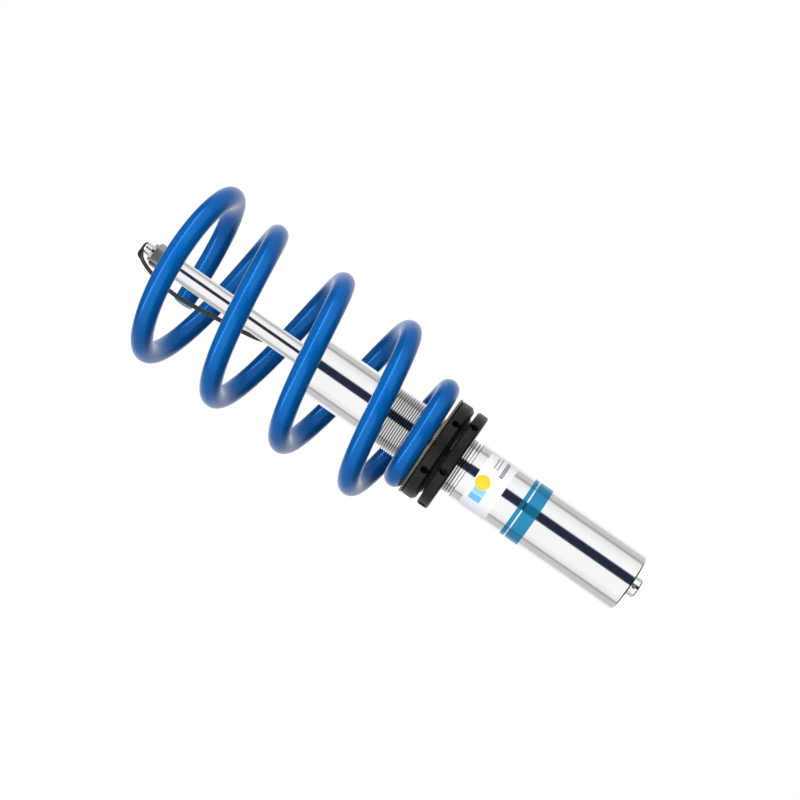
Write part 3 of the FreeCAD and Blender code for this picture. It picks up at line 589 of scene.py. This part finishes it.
# Bearings in degrees: 0 is towards -Y, where the label faces, and 90 is towards +X.
STUDIO_STOPS = [(-180, BACK_BOX), (-140, BACK_BOX), (-125, EDGE), (-99, EDGE),
                (-93, GREY), (-88, GREY), (-83, PANEL_RIM), (-55, SOFTBOX), (-5, SOFTBOX),
                (-3, NAVY), (28, NAVY), (32, SOFTBOX), (50, SOFTBOX), (84, PANEL_RIM),
                (92, GREY), (98, GREY), (104, EDGE), (125, EDGE), (140, BACK_BOX),
                (180, BACK_BOX)]
# Where the panels, the overhead glow and the strip start and end, as the upward part of the
# unit vector towards them, and where the strip does so as that vector's part towards -Y.
PANEL_EDGE, OVERHEAD_EDGE = (0.45, 0.75), (0.8, 0.95)
STRIP_LOWER_EDGE, STRIP_UPPER_EDGE, STRIP_REAR_EDGE = (0.5, 0.56), (0.62, 0.7), (-0.1, 0.3)
DIM = 0.03
WHITE = grey(1.0)

SOFT_LIGHT_SIZE = 0.5
# A name, a place, the point it faces, and its power in watts.
SOFT_LIGHTS = [("key_panel", (0.22, -0.72, 0.42), (0, 0, 0.26), 4.7),
               ("fill_panel", (-0.4, -0.68, 0.08), (0, 0, 0.22), 2.1)]

FLOOR_SIDES, FLOOR_RADIUS, FLOOR_LEVEL = 96, 0.9, -0.5 * MM


def add_world():
    """A ring of pale panels at the object's height, with one dark strip and two grey lines
    between them, which the bright metal mirrors. A brighter strip hangs over the front, for
    streaks along the coil. Elsewhere the room is dim, and the camera sees plain white."""
    world = bpy.data.worlds.new("studio")
    bpy.context.scene.world = world
    world.use_nodes = True
    world.node_tree.nodes.clear()
    room = NodeTree(world.node_tree)

    def fade(value, edge, low, high):
        return room.spread(value, low, high, *edge, kind="SMOOTHSTEP")

    def background(color, strength):
        made = room.node("ShaderNodeBackground")
        room.feed(made.inputs["Color"], color)
        room.feed(made.inputs["Strength"], strength)
        return made.outputs["Background"]

    x, y, height = room.axes(room.node("ShaderNodeTexCoord").outputs["Generated"])
    front = room.calculate("MULTIPLY", y, -1.0)
    bearing = room.calculate("MULTIPLY", room.calculate("ARCTAN2", x, front), 1 / (2 * math.pi))
    ramp = room.node("ShaderNodeValToRGB")
    room.link(room.calculate("ADD", bearing, 0.5), ramp.inputs["Fac"])
    elements = ramp.color_ramp.elements
    elements.remove(elements[-1])
    for number, (degrees, tone) in enumerate(STUDIO_STOPS):
        place = degrees / 360 + 0.5
        element = elements[0] if number == 0 else elements.new(place)
        element.position = place
        element.color = tone
    panels = fade(room.calculate("ABSOLUTE", height), PANEL_EDGE, 1.0, DIM)
    studio = background(ramp.outputs["Color"],
                        room.calculate("MULTIPLY", panels, STUDIO_STRENGTH))
    strip = room.calculate("MULTIPLY", fade(height, STRIP_LOWER_EDGE, 0.0, STRIP_STRENGTH),
                           fade(height, STRIP_UPPER_EDGE, 1.0, 0.0))
    strip = room.calculate("MULTIPLY", strip, fade(front, STRIP_REAR_EDGE, 0.0, 1.0))
    overhead = fade(height, OVERHEAD_EDGE, 0.0, OVERHEAD_STRENGTH)
    above = background(WHITE, room.calculate("ADD", strip, overhead))
    lit = room.node("ShaderNodeAddShader")
    room.link(studio, lit.inputs[0])
    room.link(above, lit.inputs[1])
    chosen = room.node("ShaderNodeMixShader")
    path = room.node("ShaderNodeLightPath")
    room.link(path.outputs["Is Camera Ray"], chosen.inputs["Fac"])
    room.link(lit.outputs["Shader"], chosen.inputs[1])
    room.link(background(WHITE, 1.0), chosen.inputs[2])
    output = room.node("ShaderNodeOutputWorld")
    room.link(chosen.outputs["Shader"], output.inputs["Surface"])


def add_soft_light(name, place, aim, power):
    """A near panel that lights the coats and films without showing in the bright metal."""
    data = bpy.data.lights.new(name, "AREA")
    data.shape = "SQUARE"
    data.size = SOFT_LIGHT_SIZE
    data.energy = power
    light = bpy.data.objects.new(name, data)
    turn = (Vector(place) - Vector(aim)).normalized().to_track_quat("Z", "Y")
    light.matrix_world = Matrix.Translation(place) @ turn.to_matrix().to_4x4()
    light.visible_glossy = False
    light.visible_camera = False
    bpy.context.scene.collection.objects.link(light)


def add_floor():
    """A plain pale round floor just under the boss. The metal doesn't mirror it."""
    rim = [(FLOOR_RADIUS * math.cos(turn), FLOOR_RADIUS * math.sin(turn), FLOOR_LEVEL)
           for turn in around(FLOOR_SIDES)]
    mesh = bpy.data.meshes.new("floor")
    mesh.from_pydata(rim, [], [tuple(range(FLOOR_SIDES))])
    g = Graph("floor_white", metallic=0.0, specular=0.2, emission=WHITE, emission_strength=0.8)
    g.color(g.ramp(g.noise(6, 2), grey(0.78), grey(0.82)))
    g.roughness(g.spread(g.noise(20, 2), 0.8, 0.9))
    mesh.materials.append(g.material)
    floor = bpy.data.objects.new("floor", mesh)
    floor.visible_glossy = False
    floor.visible_diffuse = False
    bpy.context.scene.collection.objects.link(floor)


# ---------------------------------------------------------------- carried-over CAD pieces
def make_finishes():
    """One material for each of the record's slots."""
    chrome, _ = polished_metal("hard_chrome", (0.88, 0.88, 0.9), 0.1, 0.15, 2500.0, 0.03)
    tube, _ = polished_tube("polished_tube")
    return {
        "polished_tube": tube.material,
        "chrome_rod": chrome.material,
        "black_anodised": black_anodised(),
        "zinc_hardware": zinc_hardware(),
        "bright_steel": plain_steel(),
        "sintered_iron": sintered_iron(),
        "aluminium_plain": turned_aluminium(),
        "bronze": lined_bronze(),
        "black_rubber": rubber("black_rubber", 0.008, 0.02),
        "stop_elastomer": rubber("stop_elastomer", 0.03, 0.05),
        "band_plastic": matt_plastic("band_plastic", rgba(0.05, 0.03, 0.02), rgba(0.09, 0.06, 0.04)),
        "slip_plastic": matt_plastic("slip_plastic", rgba(0.05, 0.04, 0.03), rgba(0.1, 0.08, 0.06)),
        "strap_black": strap_nylon(),
        "label_white": label_film(),
        "stripe_teal": stripe_film(),
        "spring_blue": blue_powder_coat(),
    }


def finish_cad_nodes(finishes):
    slots = {row["node"]: row["material_slot"] for row in frame["record"]["subparts"]}
    special = {"damper_tube": threaded_tube()}
    for name, piece in nodes.items():
        piece.data.materials.clear()
        piece.data.materials.append(special.get(name, finishes[slots[name]]))
        smooth_faces(piece.data, CAD_PIECE_CREASE)


bpy.context.scene.view_settings.view_transform = "Standard"
bpy.context.scene.view_settings.look = "None"
add_camera()
add_world()
for soft_light in SOFT_LIGHTS:
    add_soft_light(*soft_light)
add_floor()
finishes = make_finishes()
finish_cad_nodes(finishes)
add_coil_spring(finishes["spring_blue"])
add_strap(finishes["strap_black"])
